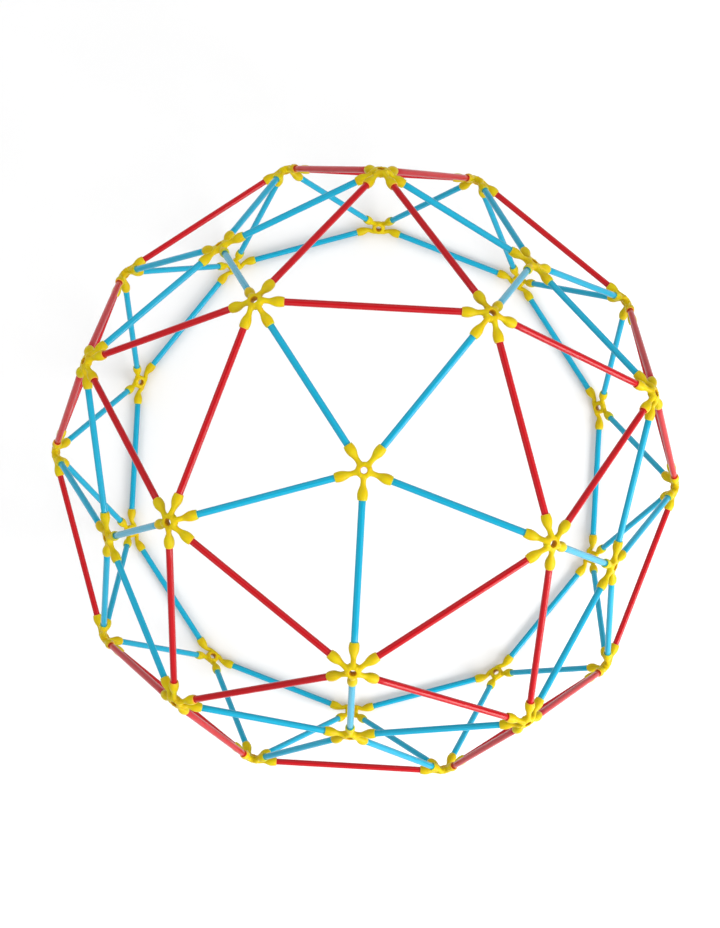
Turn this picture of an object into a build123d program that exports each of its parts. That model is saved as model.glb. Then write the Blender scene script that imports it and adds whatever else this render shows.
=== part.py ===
"""A toy geodesic dome: thin lacquered wooden sticks pushed into moulded silicone star connectors.

The dome is half of an icosidodecahedron. Its edges are the long red sticks. Short blue sticks
join a five-armed connector in the middle of each pentagon to the pentagon's corners, and carry
the dome down from its widest ring to a smaller base ring.

The frame has +Z up along the dome's axis, the floor at z = 0 and the front at -Y. Each ring of
connectors is numbered counter-clockwise, seen from above, from the front.
"""

import os
from math import cos, pi, radians, sin, sqrt, tau

import numpy as np
from build123d import *

# ---- Driving dimensions, in millimetres ----
red_stick_length = 137.0
cap_rise = 5.1              # a five-armed hub over the flat pentagon of hubs round it
stick_diameter = 5.0
stick_chamfer = 0.35
stick_seat = 12.5           # from a hub's centre to the end of a seated stick
socket_depth = 8.1          # length of stick held in an arm
socket_clearance = 0.0      # the stretched silicone hugs the stick
bulb_wall = 1.2             # wall at the thickest ring of a socket
bulb_place = 3.4            # from the seat of the stick out to that ring
mouth_wall = 0.8            # wall at the open end of a socket
mouth_round = 0.45
neck_diameter = 3.7         # narrowest place of an arm
neck_place = 4.3            # from the seat of the stick in to that place
root_diameter = 4.6         # the arm where it leaves the hub
hub_diameter = 10.8
hub_thickness = 5.8
hub_edge_round = 1.0
hub_hole_clearance = 0.0    # a stick pushed into the hub's hole is held there too
base_hub_slope = 38.0       # degrees from the floor to the flat face of a hub in the base ring

# ---- Values worked out from them ----
stick_radius = stick_diameter / 2
socket_radius = stick_radius + socket_clearance
hub_radius = hub_diameter / 2
hub_hole_radius = stick_radius + hub_hole_clearance
arm_start = (hub_radius + hub_hole_radius) / 2
arm_reach = stick_seat + socket_depth
golden_ratio = (1 + sqrt(5)) / 2

red_pitch = red_stick_length + 2 * stick_seat
sphere_radius = golden_ratio * red_pitch
pentagon_radius = red_pitch / (2 * sin(pi / 5))
pentagon_height = sqrt(sphere_radius**2 - pentagon_radius**2)
cap_radius = pentagon_height + cap_rise
blue_pitch = sqrt(pentagon_radius**2 + cap_rise**2)
blue_stick_length = blue_pitch - 2 * stick_seat

# Ten blue sticks close the base ring. Two more carry each of its connectors from the equator.
base_ring_radius = blue_pitch / (2 * sin(pi / 10))
plan_step = sqrt(
    sphere_radius**2 + base_ring_radius**2 - 2 * sphere_radius * base_ring_radius * cos(pi / 10)
)
base_drop = sqrt(blue_pitch**2 - plan_step**2)


# ---- Where the connectors stand, first with the equator at z = 0 ----
def ring(name, count, radius, height, front_angle):
    """Name the connectors of one ring and give each its centre."""
    centres = {}
    for number in range(count):
        angle = radians(front_angle - 90) + tau * number / count
        centres[f"{name}_{number + 1}"] = Vector(radius * cos(angle), radius * sin(angle), height)
    return centres


cap_tilt = 2 * np.arctan(1 / golden_ratio)          # from the axis down to a side pentagon's centre
shoulder_tilt = cap_tilt / 2
peak_tilt = pi / 2 - shoulder_tilt

hub_centres = {"crown_cap_connector": Vector(0, 0, cap_radius)}
hub_centres |= ring(
    "shoulder_connector", 5, sphere_radius * sin(shoulder_tilt), sphere_radius * cos(shoulder_tilt), 0
)
hub_centres |= ring("side_cap_connector", 5, cap_radius * sin(cap_tilt), cap_radius * cos(cap_tilt), 0)
hub_centres |= ring(
    "peak_connector", 5, sphere_radius * sin(peak_tilt), sphere_radius * cos(peak_tilt), 36
)
hub_centres |= ring("equator_connector", 10, sphere_radius, 0, 18)
hub_centres |= ring("base_connector", 10, base_ring_radius, -base_drop, 0)


# ---- Which connectors each group of sticks joins ----
def pairs(first, second, *steps):
    """Join number i of one ring to number i + step of another, for each step given.

    Where the second ring has twice as many connectors, number i stands for number 2i.
    """
    count = sum(name.startswith(first) for name in hub_centres)
    second_count = sum(name.startswith(second) for name in hub_centres)
    spread = second_count // count
    return [
        (f"{first}_{i + 1}", f"{second}_{(spread * i + step) % second_count + 1}")
        for step in steps
        for i in range(count)
    ]


stick_runs = {
    "crown_spoke_sticks": [("crown_cap_connector", f"shoulder_connector_{i + 1}") for i in range(5)],
    "shoulder_ring_sticks": pairs("shoulder_connector", "shoulder_connector", 1),
    "shoulder_to_cap_sticks": pairs("shoulder_connector", "side_cap_connector", 0),
    "shoulder_to_peak_sticks": pairs("shoulder_connector", "peak_connector", 0, -1),
    "cap_to_peak_sticks": pairs("side_cap_connector", "peak_connector", 0, -1),
    "cap_to_equator_sticks": pairs("side_cap_connector", "equator_connector", 0, -1),
    "peak_to_equator_sticks": pairs("peak_connector", "equator_connector", 0, 1),
    "equator_ring_sticks": pairs("equator_connector", "equator_connector", 1),
    "equator_to_base_sticks": pairs("equator_connector", "base_connector", 0, 1),
    "base_ring_sticks": pairs("base_connector", "base_connector", 1),
}


def arm_directions(name):
    """Unit vectors from one connector towards every connector that it holds a stick to."""
    directions = []
    for runs in stick_runs.values():
        for start, end in runs:
            if name == start:
                directions.append((hub_centres[end] - hub_centres[start]).normalized())
            if name == end:
                directions.append((hub_centres[start] - hub_centres[end]).normalized())
    return directions


def hub_axis(name):
    """The outward normal of the plane that best fits the tips of a hub's arms, which all bend inwards.

    The hubs of the base ring rest on the floor, which holds them flatter than their arms would.
    """
    tips = np.array([tuple(direction) for direction in arm_directions(name)])
    normal = np.linalg.svd(tips - tips.mean(axis=0))[2][2]
    outward = Vector(*normal) * (-1 if normal @ tips.mean(axis=0) > 0 else 1)
    if name.startswith("base"):
        level = Vector(outward.X, outward.Y, 0).normalized()
        outward = level * sin(radians(base_hub_slope)) - Vector(0, 0, cos(radians(base_hub_slope)))
    return outward


def hub_sink(directions, outward):
    """How far a hub sits inside the point where its sticks' axes meet.

    The arms bend inwards, so this puts the middle of the hub's wall, on average, on those axes.
    """
    slopes = [-direction.dot(outward) / direction.cross(outward).length for direction in directions]
    return arm_start * sum(slopes) / len(slopes)


# The dome stands on the rounded rims of the base connectors' hubs, so the lowest point of those rims
# is the floor.
foot_axis = hub_axis("base_connector_1")
foot_sink = hub_sink(arm_directions("base_connector_1"), foot_axis)
foot_drop = (
    foot_axis.Z * (foot_sink - hub_thickness / 2 + hub_edge_round)
    + sqrt(1 - foot_axis.Z**2) * (hub_radius - hub_edge_round)
    + hub_edge_round
)
lift = Vector(0, 0, base_drop + foot_drop)
hub_centres = {name: centre + lift for name, centre in hub_centres.items()}


# ---- The pieces ----
def star_connector(name):
    """One moulded silicone star: a drilled disc with a bulb-ended socket arm for each stick."""
    centre, directions, outward = hub_centres[name], arm_directions(name), hub_axis(name)
    hub_plane = Plane(origin=centre - outward * hub_sink(directions, outward), z_dir=outward)
    with BuildPart() as star:
        with BuildSketch(hub_plane):
            Circle(hub_radius)
        extrude(amount=hub_thickness / 2, both=True)
        fillet(star.edges().filter_by(GeomType.CIRCLE), hub_edge_round)

        for direction in directions:
            arm_plane = Plane(origin=centre, x_dir=direction, z_dir=direction.cross(outward))
            with BuildSketch(arm_plane) as arm_outline:
                with BuildLine():
                    root = (arm_start, root_diameter / 2)
                    neck = (stick_seat - neck_place, neck_diameter / 2)
                    bulb = (stick_seat + bulb_place, socket_radius + bulb_wall)
                    mouth = (arm_reach, socket_radius + mouth_wall)
                    waist = ((neck[0] + bulb[0]) / 2, (neck[1] + bulb[1]) / 2)
                    Polyline((arm_reach, 0), (arm_start, 0), root)
                    TangentArc(neck, root, tangent=(-1, 0))
                    TangentArc(neck, waist, tangent=(1, 0))
                    TangentArc(bulb, waist, tangent=(-1, 0))
                    TangentArc(bulb, mouth, tangent=(1, 0))
                    Line(mouth, (arm_reach, 0))
                make_face()
                fillet(arm_outline.vertices().group_by(Axis.X)[-1].sort_by(Axis.Y)[-1], mouth_round)
            revolve(axis=Axis(centre, direction))

        for direction in directions:
            with BuildSketch(Plane(origin=centre + direction * stick_seat, z_dir=direction)):
                Circle(socket_radius)
            extrude(amount=socket_depth, mode=Mode.SUBTRACT)

        with BuildSketch(hub_plane):
            Circle(hub_hole_radius)
        extrude(amount=hub_thickness, both=True, mode=Mode.SUBTRACT)
    return star.part


def stick_group(runs):
    """All the sticks of one group, each a separate round rod with broken edges."""
    with BuildPart() as sticks:
        for start, end in runs:
            span = hub_centres[end] - hub_centres[start]
            direction = span.normalized()
            with BuildSketch(Plane(origin=hub_centres[start] + direction * stick_seat, z_dir=direction)):
                Circle(stick_radius)
            extrude(amount=span.length - 2 * stick_seat)
        chamfer(sticks.edges().filter_by(GeomType.CIRCLE), stick_chamfer)
    return sticks.part


os.makedirs("parts", exist_ok=True)

for name in hub_centres:
    connector = star_connector(name)
    connector.label = name
    export_step(connector, f"parts/{name}.step")

for name, runs in stick_runs.items():
    group = stick_group(runs)
    group.label = name
    export_step(group, f"parts/{name}.step")

print(f"sphere radius {sphere_radius:.2f}, red pitch {red_pitch:.2f}, blue pitch {blue_pitch:.2f}")
print(f"blue stick length {blue_stick_length:.2f}, base ring radius {base_ring_radius:.2f}")
print(f"base drop {base_drop:.2f}, foot drop {foot_drop:.4f}")
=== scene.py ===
"""A toy geodesic dome of lacquered wooden sticks and soft silicone star connectors.

Everything is in metres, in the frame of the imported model: +Z up along the dome's axis, the floor
at z = 0 and the front at -Y. One section for each kind of piece, in the order of putting the toy
together: where the hubs stand, the star connectors, the red sticks, the blue sticks, the floor
and the light.
"""

from math import pi, radians, sin, cos, sqrt, atan, tan, tau

import bpy
import numpy as np
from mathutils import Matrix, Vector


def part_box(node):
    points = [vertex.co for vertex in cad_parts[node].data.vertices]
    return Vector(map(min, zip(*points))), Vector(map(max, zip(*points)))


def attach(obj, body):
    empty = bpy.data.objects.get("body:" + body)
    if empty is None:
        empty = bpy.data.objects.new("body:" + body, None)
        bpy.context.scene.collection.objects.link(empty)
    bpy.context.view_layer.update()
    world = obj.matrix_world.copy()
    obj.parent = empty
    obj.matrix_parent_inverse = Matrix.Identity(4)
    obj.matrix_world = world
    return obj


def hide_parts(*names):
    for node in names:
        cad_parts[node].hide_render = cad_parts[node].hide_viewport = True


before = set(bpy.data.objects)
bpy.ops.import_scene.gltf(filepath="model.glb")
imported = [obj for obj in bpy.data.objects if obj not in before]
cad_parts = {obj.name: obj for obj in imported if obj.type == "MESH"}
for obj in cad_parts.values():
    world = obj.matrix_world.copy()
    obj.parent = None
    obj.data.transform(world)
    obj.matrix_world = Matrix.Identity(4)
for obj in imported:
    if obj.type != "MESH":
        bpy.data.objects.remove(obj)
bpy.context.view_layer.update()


# ---- Camera ----
# A product shot from straight above the crown, far enough away that the near and the far rings of
# the dome both stay open. The camera is turned a few degrees about the dome's axis.
camera_place = (0.0031, 0.0028, 1.2837)
camera_tilt = (radians(0.10), radians(0.36))
camera_roll = radians(3.19)
frame_height_mm = 24.0
frame_half_view = radians(36.85) / 2

camera_data = bpy.data.cameras.new("camera")
camera_data.sensor_fit = "VERTICAL"
camera_data.sensor_height = frame_height_mm
camera_data.lens = frame_height_mm / 2 / tan(frame_half_view)
camera = bpy.data.objects.new("camera", camera_data)
camera.location = camera_place
camera.rotation_euler = (*camera_tilt, camera_roll)
bpy.context.scene.collection.objects.link(camera)
bpy.context.scene.camera = camera


# ---- The plan of the dome ----
# Half of an icosidodecahedron whose edges are the long red sticks, with a five-armed hub raised a
# little over the middle of each pentagon, and a smaller ring of ten hubs hung under the equator.
# The hubs stand where the sticks' lengths put them; nothing else holds them.
mm = 0.001
red_stick_length = 137.0 * mm
stick_seat = 12.5 * mm
cap_rise = 5.1 * mm

golden_ratio = (1 + sqrt(5)) / 2
red_pitch = red_stick_length + 2 * stick_seat
sphere_radius = golden_ratio * red_pitch
pentagon_radius = red_pitch / (2 * sin(pi / 5))
cap_radius = sqrt(sphere_radius**2 - pentagon_radius**2) + cap_rise
blue_pitch = sqrt(pentagon_radius**2 + cap_rise**2)
base_ring_radius = blue_pitch / (2 * sin(pi / 10))
plan_step_squared = (
    sphere_radius**2 + base_ring_radius**2 - 2 * sphere_radius * base_ring_radius * cos(pi / 10)
)
base_drop = sqrt(blue_pitch**2 - plan_step_squared)

# Tilts from the dome's axis: the middle of a side pentagon, and the two rings of hubs round it.
cap_tilt = 2 * atan(1 / golden_ratio)
shoulder_tilt = cap_tilt / 2
peak_tilt = pi / 2 - shoulder_tilt


def ring(name, count, radius, height, front_angle):
    """Centres of one ring of hubs: radius and height from the axis, equally spaced from the front."""
    angles = np.radians(front_angle - 90) + tau * np.arange(count) / count
    places = np.stack([radius * np.cos(angles), radius * np.sin(angles), np.full(count, height)], axis=1)
    return {f"{name}_{number + 1}": place for number, place in enumerate(places)}


hub_centres = {"crown_cap_connector": np.array([0, 0, cap_radius])}
hub_centres |= ring(
    "shoulder_connector", 5, sphere_radius * sin(shoulder_tilt), sphere_radius * cos(shoulder_tilt), 0
)
hub_centres |= ring("side_cap_connector", 5, cap_radius * sin(cap_tilt), cap_radius * cos(cap_tilt), 0)
hub_centres |= ring("peak_connector", 5, sphere_radius * sin(peak_tilt), sphere_radius * cos(peak_tilt), 36)
hub_centres |= ring("equator_connector", 10, sphere_radius, 0, 18)
hub_centres |= ring("base_connector", 10, base_ring_radius, -base_drop, 0)

# The equator's sticks lie level, so the middle of their box is the height of the equator.
ring_lows, ring_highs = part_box("equator_ring_sticks")
lift = np.array([0, 0, (ring_lows.z + ring_highs.z) / 2])
hub_centres = {name: centre + lift for name, centre in hub_centres.items()}


def pairs(first, second, *steps):
    """Join number i of one ring to number i + step of another, or 2i + step of one twice as full."""
    count = sum(name.startswith(first) for name in hub_centres)
    second_count = sum(name.startswith(second) for name in hub_centres)
    spread = second_count // count
    return [
        (f"{first}_{i + 1}", f"{second}_{(spread * i + step) % second_count + 1}")
        for step in steps
        for i in range(count)
    ]


red_runs = {
    "shoulder_ring_sticks": pairs("shoulder_connector", "shoulder_connector", 1),
    "shoulder_to_peak_sticks": pairs("shoulder_connector", "peak_connector", 0, -1),
    "peak_to_equator_sticks": pairs("peak_connector", "equator_connector", 0, 1),
    "equator_ring_sticks": pairs("equator_connector", "equator_connector", 1),
}
blue_runs = {
    "crown_spoke_sticks": [("crown_cap_connector", f"shoulder_connector_{i + 1}") for i in range(5)],
    "shoulder_to_cap_sticks": pairs("shoulder_connector", "side_cap_connector", 0),
    "cap_to_peak_sticks": pairs("side_cap_connector", "peak_connector", 0, -1),
    "cap_to_equator_sticks": pairs("side_cap_connector", "equator_connector", 0, -1),
    "equator_to_base_sticks": pairs("equator_connector", "base_connector", 0, 1),
    "base_ring_sticks": pairs("base_connector", "base_connector", 1),
}


# ---- Star connectors ----
# Each is one piece of soft yellow silicone, cast in a two-part mould: a thick drilled hub with four,
# five or six arms, a thin neck on each and then a bulb-shaped socket that stretches over a stick.
# The arms leave the hub flat and evenly spaced, and bend at the neck to point along their sticks.
hub_radius = 5.4 * mm
hub_hole_radius = 2.5 * mm
hub_half_thickness = 2.9 * mm
base_hub_slope = radians(38)
bend_start, bend_end = 5.2 * mm, 11.0 * mm
bend_pull = 0.9                  # length of the bend's end tangents over the distance between them
neck_half_width = 1.9 * mm
neck_end_half_width = 2.26 * mm
hub_edge_step = 0.45 * mm        # cage points of the hub's edge, in and out from its radius
hub_edge_drop = 1.0 * mm         # and down from its face
hole_waist = 0.27 * mm           # the two core pins are drafted and meet half way through
arm_start = (hub_radius + hub_hole_radius) / 2
arm_reach = 20.6 * mm
stick_radius = 2.5 * mm
socket_gap = 0.03 * mm
corners_round = 8                                  # cage points round an arm
cage_shrink = (4 + 2 * cos(tau / corners_round)) / 6  # a smoothed ring's radius over its cage's
bend_steps = np.array([0, 0.22, 0.46, 0.72, 1.0])  # rings of the neck, as shares of the way along it

# Distance along the stick and radius of each ring of a socket, out over its mouth and back down its
# bore to where the stick is seated.
bore = stick_radius + socket_gap
socket_profile = np.array([
    (12.4 * mm, 2.80 * mm), (13.8 * mm, 3.34 * mm), (15.4 * mm, 3.70 * mm), (17.0 * mm, 3.80 * mm),
    (18.6 * mm, 3.68 * mm), (19.8 * mm, 3.42 * mm), (arm_reach - 0.22 * mm, 3.30 * mm),
    (arm_reach, 3.12 * mm), (arm_reach, bore + 0.2 * mm), (arm_reach - 0.15 * mm, bore),
    (arm_reach - 0.8 * mm, bore), (stick_seat + 0.6 * mm, bore), (stick_seat, bore),
    (stick_seat, 0.6 * bore),
])


def unit(vectors):
    """Vectors scaled to length one, along the last axis."""
    return vectors / np.linalg.norm(vectors, axis=-1, keepdims=True)


def stick_spans(name):
    """From one hub's centre to the centre of every hub that it holds a stick to."""
    ends = []
    for runs in (red_runs | blue_runs).values():
        ends += [end for start, end in runs if start == name]
        ends += [start for start, end in runs if end == name]
    return np.array([hub_centres[end] for end in ends]) - hub_centres[name]


def hub_frame(name, directions):
    """Rows: two axes in the hub's plane, and its outward normal.

    The plane is the one that best fits the tips of the arms. Only the hubs of the base ring, which
    rest on the floor, lie flatter than that.
    """
    rows = np.linalg.svd(directions - directions.mean(axis=0))[2]
    outward = rows[2] * (-1 if rows[2] @ directions.mean(axis=0) > 0 else 1)
    if name.startswith("base"):
        level = unit(outward * [1, 1, 0])
        outward = sin(base_hub_slope) * level - cos(base_hub_slope) * np.array([0, 0, 1])
    across = unit(np.cross(outward, rows[1]))
    return np.array([across, np.cross(outward, across), outward])


def arm_rings(angle, direction, sink, half_gap):
    """Centre, side axis, up axis and two half-widths of each ring of one arm, in the hub's frame.

    The centre line is a cubic that starts flat in the hub's middle plane at the arm's moulded
    angle and ends on the stick's axis, then runs straight on. The side axis stays parallel to
    the hub's plane. Between two arms the outline is an arc that touches the sides of both necks
    and, on the line half_gap from each arm, the hub's circle.
    """
    outwards = np.array([cos(angle), sin(angle), 0])
    stick_origin = np.array([0, 0, sink])
    reach = bend_start + bend_steps * (bend_end - bend_start)
    hollow_radius = (hub_radius * sin(half_gap) - neck_half_width) / (1 - sin(half_gap))
    hollow_reach = (hub_radius + hollow_radius) * cos(half_gap)
    short_of_middle = np.maximum(hollow_reach - reach, 0)
    first, last = outwards * bend_start, stick_origin + direction * bend_end
    pull = bend_pull * np.linalg.norm(last - first)
    t = bend_steps[:, None]
    bend = (
        (2 * t**3 - 3 * t**2 + 1) * first
        + (t**3 - 2 * t**2 + t) * pull * outwards
        + (3 * t**2 - 2 * t**3) * last
        + (t**3 - t**2) * pull * direction
    )
    heading = (
        (6 * t**2 - 6 * t) * first
        + (3 * t**2 - 4 * t + 1) * pull * outwards
        + (6 * t - 6 * t**2) * last
        + (3 * t**2 - 2 * t) * pull * direction
    )
    centres = np.concatenate([bend, stick_origin + socket_profile[:, :1] * direction])
    headings = unit(np.concatenate([heading, np.repeat(direction[None], len(socket_profile), axis=0)]))
    sides = unit(np.cross([0, 0, 1], headings))
    ups = np.cross(headings, sides)
    neck_widths = neck_half_width + hollow_radius - np.sqrt(hollow_radius**2 - short_of_middle**2)
    neck_widths[-1] = neck_end_half_width
    neck_heights = [2.4 * mm, 2.2 * mm, 1.98 * mm, 1.9 * mm, neck_end_half_width]
    widths = np.concatenate([neck_widths, socket_profile[:, 1]]) / cage_shrink
    heights = np.concatenate([neck_heights, socket_profile[:, 1]]) / cage_shrink
    return centres, sides, ups, widths, heights


def star_cage(directions, sink):
    """Points, faces, marks and arms of the cage that is smoothed into one connector.

    Each arm is a stack of eight-point rings, at angle 45 k degrees round the arm: 0 and 4 on its
    sides, 2 on top, 6 below. The hub is strips of six columns to an arm, from the tops of the
    arms' first rings in to the hole, down it and out to the bottoms. In each gap three of the
    columns carry on down the hub's wall. The arms returned are the numbers of their points.
    """
    count = len(directions)
    angles = np.arctan2(directions[:, 1], directions[:, 0])
    order = np.argsort(angles)
    directions, angles = directions[order], angles[order]
    moulded = tau * np.arange(count) / count
    moulded += (angles - moulded).mean()

    arms = []
    for angle, direction in zip(moulded, directions):
        centres, sides, ups, widths, heights = arm_rings(angle, direction, sink, pi / count)
        turn = np.arange(corners_round) * tau / corners_round
        squareness = np.zeros(len(centres))
        squareness[:2] = 0.24, 0.06             # the root fills out towards the hub's flat faces
        swell = 1 + squareness[:, None] * np.sin(2 * turn) ** 2
        across = (widths[:, None] * np.cos(turn) * swell)[..., None] * sides[:, None]
        upward = (heights[:, None] * np.sin(turn) * swell)[..., None] * ups[:, None]
        arms.append(centres[:, None] + across + upward)
    arms = np.array(arms)
    rings = arms.shape[1]

    # Six columns to an arm: over the arm, beside it, three across the gap, beside the next arm.
    shares = np.array([0, 0.27, 0.40, 0.5, 0.60, 0.73])
    columns = len(shares) * count
    turn = ((np.arange(count)[:, None] + shares) * tau / count).ravel() + moulded[0]
    circle = np.stack([np.cos(turn), np.sin(turn), np.zeros(columns)], axis=1)
    up = np.array([0, 0, 1])
    half = hub_half_thickness
    face_to_middle = np.array([
        (hub_hole_radius + 0.95 * mm, half + 0.08 * mm), (hub_hole_radius + 0.30 * mm, half),
        (hub_hole_radius, half - 0.45 * mm), (hub_hole_radius - hole_waist, 0.15 * mm),
    ])
    hole_profile = np.concatenate([face_to_middle, face_to_middle[::-1] * [1, -1]])
    hole_rings = circle * hole_profile[:, :1, None] + up * hole_profile[:, 1:, None]
    gap = circle.reshape(count, len(shares), 3)[:, 2:5]
    # The hub's edge is hollow in each gap, so the columns beside the middle one stand further out.
    hub_edge = hub_radius + np.array([0.15, 0, 0.15])[:, None] * mm
    face_edge, wall = gap * (hub_edge - hub_edge_step), gap * (hub_edge + hub_edge_step)
    face_height, wall_height = half + 0.02 * mm, half - hub_edge_drop
    webs = np.stack([
        face_edge + up * face_height, wall + up * wall_height,
        wall - up * wall_height, face_edge - up * face_height,
    ])

    points = np.concatenate([arms.reshape(-1, 3), hole_rings.reshape(-1, 3), webs.reshape(-1, 3)])
    arm = np.arange(count * rings * corners_round).reshape(count, rings, corners_round)
    hole = arm.size + np.arange(len(hole_profile) * columns).reshape(-1, columns)
    web = arm.size + hole.size + np.arange(webs[..., 0].size).reshape(webs.shape[:3])

    here, after = arm[:, 0], np.roll(arm[:, 0], -1, axis=0)
    rim_top = np.column_stack([here[:, 2], here[:, 1], web[0], after[:, 3]]).ravel()
    rim_bottom = np.column_stack([here[:, 6], here[:, 7], web[3], after[:, 5]]).ravel()
    strips = np.vstack([rim_top, hole, rim_bottom])
    inner, outer = strips[1:], strips[:-1]
    hub_faces = np.stack([inner, outer, np.roll(outer, -1, axis=1), np.roll(inner, -1, axis=1)], axis=-1)

    # The hub's wall in each gap: between its own columns, then from them to the arm on each side.
    high_face, high_wall, low_wall, low_face = web
    wall_quads = [
        np.column_stack([lower[:, k], lower[:, k + 1], upper[:, k + 1], upper[:, k]])
        for upper, lower in zip(web[:-1], web[1:])
        for k in range(2)
    ]
    wall_quads += [
        np.column_stack([here[:, 0], high_wall[:, 0], high_face[:, 0], here[:, 1]]),
        np.column_stack([here[:, 7], low_face[:, 0], low_wall[:, 0], here[:, 0]]),
        np.column_stack([high_wall[:, 2], after[:, 4], after[:, 3], high_face[:, 2]]),
        np.column_stack([low_face[:, 2], after[:, 5], after[:, 4], low_wall[:, 2]]),
    ]
    wall_triangles = np.concatenate([
        np.column_stack([here[:, 0], low_wall[:, 0], high_wall[:, 0]]),
        np.column_stack([high_wall[:, 2], low_wall[:, 2], after[:, 4]]),
    ])
    near, far = arm[:, :-1], arm[:, 1:]
    tube_faces = np.stack([near, np.roll(near, -1, axis=2), np.roll(far, -1, axis=2), far], axis=-1)
    quads = np.concatenate([hub_faces.reshape(-1, 4), *wall_quads, tube_faces.reshape(-1, 4)])
    faces = quads.tolist() + wall_triangles.tolist() + arm[:, -1].tolist()

    mouth = len(bend_steps) + 7                 # the ring round a socket's open end
    marks = {name: np.zeros(len(points)) for name in ("parting", "painted_lip_glow", "painted_hole_shade")}
    marks["parting"][arm[:, :mouth + 1, [0, 4]]] = 1
    # Painted glow: the rings at each socket's mouth take the stick-coloured glow that the silicone's
    # material paints there.
    marks["painted_lip_glow"][arm[:, mouth - 1]] = 0.6
    marks["painted_lip_glow"][arm[:, mouth:mouth + 2]] = 1
    # Painted shade: the middle of the hub's hole and the seated end of each socket's bore are painted a
    # darker amber.
    marks["painted_hole_shade"][hole[2:6]] = 1
    marks["painted_hole_shade"][arm[:, mouth + 4:]] = 1
    return points, faces, marks, arm[np.argsort(order)]


def silicone():
    """Satin moulded silicone: warm yellow, a little light passing through, a fine mould texture."""
    material = bpy.data.materials.new("yellow_silicone")
    material.use_nodes = True
    nodes, links = material.node_tree.nodes, material.node_tree.links
    shader = nodes["Principled BSDF"]
    shader.inputs["Subsurface Weight"].default_value = 0.35
    shader.inputs["Subsurface Radius"].default_value = (1.0, 0.55, 0.08)
    shader.inputs["Subsurface Scale"].default_value = 0.0022
    shader.inputs["IOR"].default_value = 1.41
    shader.inputs["Specular IOR Level"].default_value = 0.22

    coordinates = nodes.new("ShaderNodeTexCoord")
    drift = nodes.new("ShaderNodeTexNoise")
    drift.inputs["Scale"].default_value = 130
    drift.inputs["Detail"].default_value = 3
    links.new(coordinates.outputs["Object"], drift.inputs["Vector"])
    tint = nodes.new("ShaderNodeValToRGB")
    tint.color_ramp.elements[0].position = 0.3
    tint.color_ramp.elements[0].color = (0.68, 0.47, 0.002, 1)
    tint.color_ramp.elements[1].position = 0.72
    tint.color_ramp.elements[1].color = (0.71, 0.58, 0.002, 1)
    links.new(drift.outputs["Fac"], tint.inputs["Fac"])

    # Painted light: the thin lip at each socket's mouth is painted with a glow in its stick's colour, in
    # place of the stick's light passing through it and reflecting off it. Painted shade: deep inside a hole
    # and a socket's bore the silicone is painted a darker amber.
    def mark(name):
        attribute = nodes.new("ShaderNodeAttribute")
        attribute.attribute_name = name
        return attribute.outputs["Fac"]

    def tinted(below, amount, colour):
        mix = nodes.new("ShaderNodeMix")
        mix.data_type = "RGBA"
        links.new(amount, mix.inputs["Factor"])
        links.new(below, mix.inputs["A"])
        if isinstance(colour, tuple):
            mix.inputs["B"].default_value = (*colour, 1)
        else:
            links.new(colour, mix.inputs["B"])
        return mix.outputs["Result"]

    # The glow painted on the lip is greenish over a blue stick and orange over a red one.
    over_blue = tinted(tint.outputs["Color"], mark("painted_lip_glow"), (0.52, 0.62, 0.05))
    over_red = tinted(tint.outputs["Color"], mark("painted_lip_glow"), (0.92, 0.40, 0.05))
    body = tinted(over_blue, mark("red_held"), over_red)
    # Painted shade: the deep walls of the holes turn a darker amber.
    links.new(tinted(body, mark("painted_hole_shade"), (0.62, 0.30, 0.001)), shader.inputs["Base Color"])

    gloss = nodes.new("ShaderNodeMapRange")
    gloss.inputs["To Min"].default_value = 0.34
    gloss.inputs["To Max"].default_value = 0.5
    links.new(drift.outputs["Fac"], gloss.inputs["Value"])
    links.new(gloss.outputs["Result"], shader.inputs["Roughness"])

    grain = nodes.new("ShaderNodeTexNoise")
    grain.inputs["Scale"].default_value = 2600
    grain.inputs["Detail"].default_value = 2
    links.new(coordinates.outputs["Object"], grain.inputs["Vector"])
    grain_bump = nodes.new("ShaderNodeBump")
    grain_bump.inputs["Strength"].default_value = 0.12
    grain_bump.inputs["Distance"].default_value = 0.0001
    links.new(grain.outputs["Fac"], grain_bump.inputs["Height"])

    seam = nodes.new("ShaderNodeAttribute")
    seam.attribute_name = "parting"
    ridge = nodes.new("ShaderNodeMapRange")
    ridge.interpolation_type = "SMOOTHSTEP"
    ridge.inputs["From Min"].default_value = 0.86
    ridge.inputs["From Max"].default_value = 0.98
    links.new(seam.outputs["Fac"], ridge.inputs["Value"])
    ridge_bump = nodes.new("ShaderNodeBump")
    ridge_bump.inputs["Strength"].default_value = 0.5
    ridge_bump.inputs["Distance"].default_value = 0.00012
    links.new(ridge.outputs["Result"], ridge_bump.inputs["Height"])
    links.new(grain_bump.outputs["Normal"], ridge_bump.inputs["Normal"])
    links.new(ridge_bump.outputs["Normal"], shader.inputs["Normal"])
    return material


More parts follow.
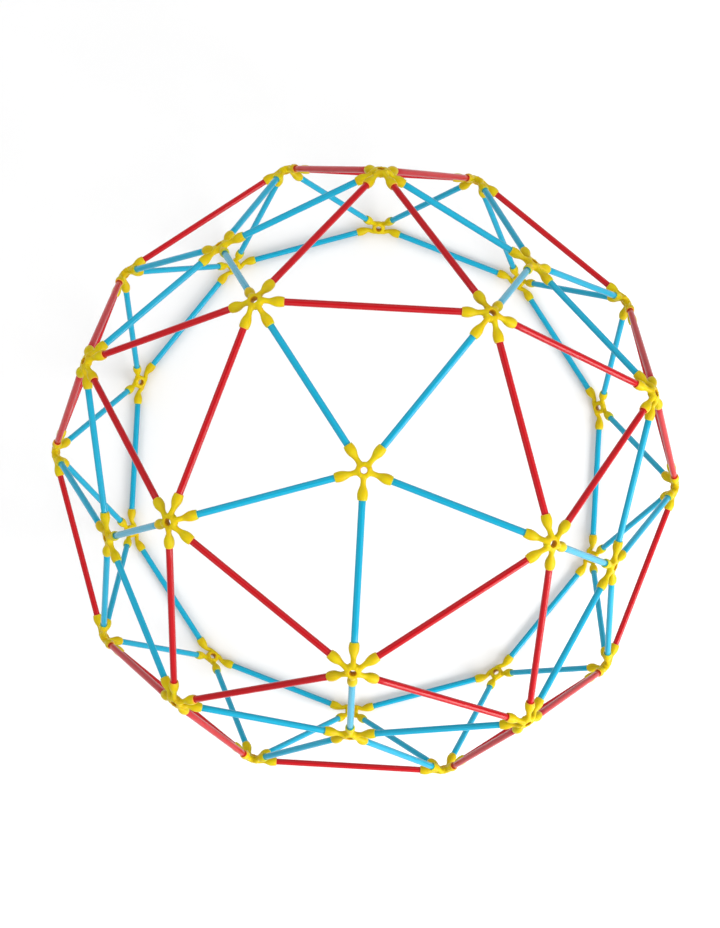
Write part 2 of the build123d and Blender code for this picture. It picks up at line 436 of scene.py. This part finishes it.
yellow_silicone = silicone()
for name, centre in hub_centres.items():
    spans = stick_spans(name)
    directions = unit(spans)
    axes = hub_frame(name, directions)
    local = directions @ axes.T
    slopes = -local[:, 2] / np.hypot(local[:, 0], local[:, 1])
    sink = arm_start * slopes.mean()
    points, faces, marks, arms = star_cage(local, sink)
    # Which arms hold a red stick, to choose the colour of the glow painted on their lips.
    holds_red = np.linalg.norm(spans, axis=1) > (red_pitch + blue_pitch) / 2
    marks["red_held"] = np.zeros(len(points))
    marks["red_held"][arms[holds_red]] = 1

    mesh = bpy.data.meshes.new(name)
    mesh.from_pydata(points @ axes + centre - sink * axes[2], [], faces)
    for mark, values in marks.items():
        mesh.attributes.new(mark, "FLOAT", "POINT").data.foreach_set("value", values)
    mesh.shade_smooth()
    mesh.materials.append(yellow_silicone)
    connector = bpy.data.objects.new("moulded_" + name, mesh)
    bpy.context.scene.collection.objects.link(connector)
    smoothing = connector.modifiers.new("smooth", "SUBSURF")
    smoothing.levels = smoothing.render_levels = 2
    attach(connector, "root")
    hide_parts(name)


# ---- Red sticks ----
# Long round rods of straight-grained wood, cut to one length, chamfered at both ends and dipped in
# a hard gloss lacquer. The wood's long fibres still show faintly through the colour.
stick_chamfer = 0.35 * mm
stick_facets = 32
ring_spacing = 14.0 * mm


def stick_group(name, runs, seed):
    """All the sticks of one group as one mesh, each a chamfered rod with closed ends.

    A stick is its profile, radius against distance along the axis, turned round the line between
    two hubs. It carries its own coordinates for the grain: cosine, sine and distance along.
    """
    random = np.random.default_rng(seed)
    turn = tau * np.arange(stick_facets) / stick_facets
    all_points, all_faces, all_grain, all_tones, all_ends = [], [], [], [], []
    for start, end in runs:
        axis = hub_centres[end] - hub_centres[start]
        length = np.linalg.norm(axis) - 2 * stick_seat
        heading = unit(axis)
        side = unit(np.cross(heading, [0.3, 0.2, 1.0]))
        upright = np.cross(heading, side)
        middle = np.linspace(stick_chamfer, length - stick_chamfer, int(length / ring_spacing))
        along = np.concatenate([[0], middle, [length]])
        radii = np.full(len(along), stick_radius)
        radii[[0, -1]] -= stick_chamfer
        round_about = np.cos(turn)[:, None] * side + np.sin(turn)[:, None] * upright
        origin = hub_centres[start] + heading * stick_seat
        rod = origin + along[:, None, None] * heading + radii[:, None, None] * round_about

        first = sum(len(points) for points in all_points)
        index = first + np.arange(len(along) * stick_facets).reshape(len(along), stick_facets)
        near, far = index[:-1], index[1:]
        wall = np.stack([near, np.roll(near, -1, axis=1), np.roll(far, -1, axis=1), far], axis=-1)
        all_points.append(rod.reshape(-1, 3))
        all_faces += wall.reshape(-1, 4).tolist() + [index[0, ::-1].tolist(), index[-1].tolist()]

        offset = random.uniform(-40, 40, 3)
        grain = np.empty((len(along), stick_facets, 3))
        grain[..., 0] = np.cos(turn) + offset[0]
        grain[..., 1] = np.sin(turn) + offset[1]
        grain[..., 2] = (along / (10 * mm) + offset[2])[:, None]
        all_grain.append(grain.reshape(-1, 3))
        all_tones.append(np.full(rod.shape[0] * stick_facets, random.uniform()))
        at_end = np.zeros(rod.shape[:2], bool)
        at_end[[0, -1]] = True
        all_ends.append(at_end.ravel())

    mesh = bpy.data.meshes.new(name)
    mesh.from_pydata(np.concatenate(all_points), [], all_faces)
    mesh.attributes.new("grain", "FLOAT_VECTOR", "POINT").data.foreach_set(
        "vector", np.concatenate(all_grain).ravel()
    )
    mesh.attributes.new("tone", "FLOAT", "POINT").data.foreach_set("value", np.concatenate(all_tones))
    mesh.shade_smooth()
    edge_points = np.zeros(2 * len(mesh.edges), int)
    mesh.edges.foreach_get("vertices", edge_points)
    sharp = np.concatenate(all_ends)[edge_points.reshape(-1, 2)].any(axis=1)
    mesh.attributes.new("sharp_edge", "BOOLEAN", "EDGE").data.foreach_set("value", sharp)
    group = bpy.data.objects.new("lacquered_" + name, mesh)
    bpy.context.scene.collection.objects.link(group)
    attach(group, "root")
    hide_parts(name)
    return group


def lacquered_wood(name, dark, light):
    """Gloss lacquer over straight-grained wood: long fine streaks in the colour and in the gloss."""
    material = bpy.data.materials.new(name)
    material.use_nodes = True
    nodes, links = material.node_tree.nodes, material.node_tree.links
    shader = nodes["Principled BSDF"]
    shader.inputs["IOR"].default_value = 1.5
    shader.inputs["Specular IOR Level"].default_value = 0.08
    shader.inputs["Coat Weight"].default_value = 0.42
    shader.inputs["Coat Roughness"].default_value = 0.07
    shader.inputs["Coat IOR"].default_value = 1.5

    grain = nodes.new("ShaderNodeAttribute")
    grain.attribute_name = "grain"
    stretch = nodes.new("ShaderNodeMapping")
    stretch.inputs["Scale"].default_value = (2.6, 2.6, 0.10)
    links.new(grain.outputs["Vector"], stretch.inputs["Vector"])
    fibres = nodes.new("ShaderNodeTexNoise")
    fibres.inputs["Scale"].default_value = 2.2
    fibres.inputs["Detail"].default_value = 5
    fibres.inputs["Roughness"].default_value = 0.62
    links.new(stretch.outputs["Vector"], fibres.inputs["Vector"])

    tone = nodes.new("ShaderNodeAttribute")
    tone.attribute_name = "tone"
    mixed = nodes.new("ShaderNodeMath")
    mixed.operation = "MULTIPLY_ADD"
    mixed.inputs[1].default_value = 0.12
    links.new(tone.outputs["Fac"], mixed.inputs[0])
    links.new(fibres.outputs["Fac"], mixed.inputs[2])
    colour = nodes.new("ShaderNodeValToRGB")
    colour.color_ramp.elements[0].position = 0.36
    colour.color_ramp.elements[0].color = (*dark, 1)
    colour.color_ramp.elements[1].position = 0.7
    colour.color_ramp.elements[1].color = (*light, 1)
    links.new(mixed.outputs["Value"], colour.inputs["Fac"])
    links.new(colour.outputs["Color"], shader.inputs["Base Color"])

    gloss = nodes.new("ShaderNodeMapRange")
    gloss.inputs["To Min"].default_value = 0.22
    gloss.inputs["To Max"].default_value = 0.36
    links.new(fibres.outputs["Fac"], gloss.inputs["Value"])
    links.new(gloss.outputs["Result"], shader.inputs["Roughness"])
    bump = nodes.new("ShaderNodeBump")
    bump.inputs["Strength"].default_value = 0.22
    bump.inputs["Distance"].default_value = 0.00012
    links.new(fibres.outputs["Fac"], bump.inputs["Height"])
    links.new(bump.outputs["Normal"], shader.inputs["Normal"])
    return material


red_lacquer = lacquered_wood("red_lacquered_wood", dark=(0.46, 0.003, 0.007), light=(0.58, 0.006, 0.012))
for number, (name, runs) in enumerate(red_runs.items()):
    group = stick_group(name, runs, seed=100 + number)
    group.data.materials.append(red_lacquer)


# ---- Blue sticks ----
# The same rod and lacquer, cut shorter. They are the spokes of every pentagon and the whole skirt
# below the equator.
blue_lacquer = lacquered_wood("blue_lacquered_wood", dark=(0.002, 0.34, 0.53), light=(0.006, 0.42, 0.64))
for number, (name, runs) in enumerate(blue_runs.items()):
    group = stick_group(name, runs, seed=200 + number)
    group.data.materials.append(blue_lacquer)


# ---- Floor ----
# A wide sheet of matt white board under the dome. It is seen and mirrored but lights nothing, so
# the undersides of the sticks and connectors keep their shade.
floor_half = 3.0
floor_mesh = bpy.data.meshes.new("floor")
floor_corners = [(-floor_half, -floor_half), (floor_half, -floor_half),
                 (floor_half, floor_half), (-floor_half, floor_half)]
floor_mesh.from_pydata([(x, y, 0) for x, y in floor_corners], [], [(0, 1, 2, 3)])
floor = bpy.data.objects.new("floor", floor_mesh)
bpy.context.scene.collection.objects.link(floor)
floor_board = bpy.data.materials.new("white_board")
floor_board.use_nodes = True
board = floor_board.node_tree.nodes["Principled BSDF"]
board.inputs["Base Color"].default_value = (0.95, 0.95, 0.95, 1)
board.inputs["Roughness"].default_value = 0.9
floor_mesh.materials.append(floor_board)
floor.visible_diffuse = False


# ---- Light ----
# A white room, and one wide soft box low on the right in front, which draws the bright line along
# the sticks that fall away to that side.
world = bpy.data.worlds.new("white_room")
world.use_nodes = True
room_nodes, room_links = world.node_tree.nodes, world.node_tree.links
place_in_room = room_nodes.new("ShaderNodeTexCoord")
height_in_room = room_nodes.new("ShaderNodeSeparateXYZ")
room_links.new(place_in_room.outputs["Generated"], height_in_room.inputs["Vector"])
walls = room_nodes.new("ShaderNodeValToRGB")
walls.color_ramp.elements[0].position = 0.0
walls.color_ramp.elements[0].color = (0.18, 0.18, 0.18, 1)
walls.color_ramp.elements[1].position = 0.93
walls.color_ramp.elements[1].color = (0.08, 0.08, 0.08, 1)
for position, white in ((0.35, 0.4), (0.52, 1.0), (0.78, 1.0)):
    walls.color_ramp.elements.new(position).color = (white, white, white, 1)
room_links.new(height_in_room.outputs["Z"], walls.inputs["Fac"])
room_links.new(walls.outputs["Color"], room_nodes["Background"].inputs["Color"])
room_nodes["Background"].inputs["Strength"].default_value = 1.52
bpy.context.scene.world = world

key_direction = unit(np.array([0.74, -0.54, 0.42]))
key_distance = 1.6
key_side = 0.9
key_data = bpy.data.lights.new("soft_box", "AREA")
key_data.shape = "RECTANGLE"
key_data.size = key_data.size_y = key_side
key_data.energy = 21
key = bpy.data.objects.new("soft_box", key_data)
key.location = key_direction * key_distance
key.rotation_euler = (np.arccos(key_direction[2]), 0, np.arctan2(key_direction[0], -key_direction[1]))
bpy.context.scene.collection.objects.link(key)

bpy.context.scene.view_settings.view_transform = "Standard"
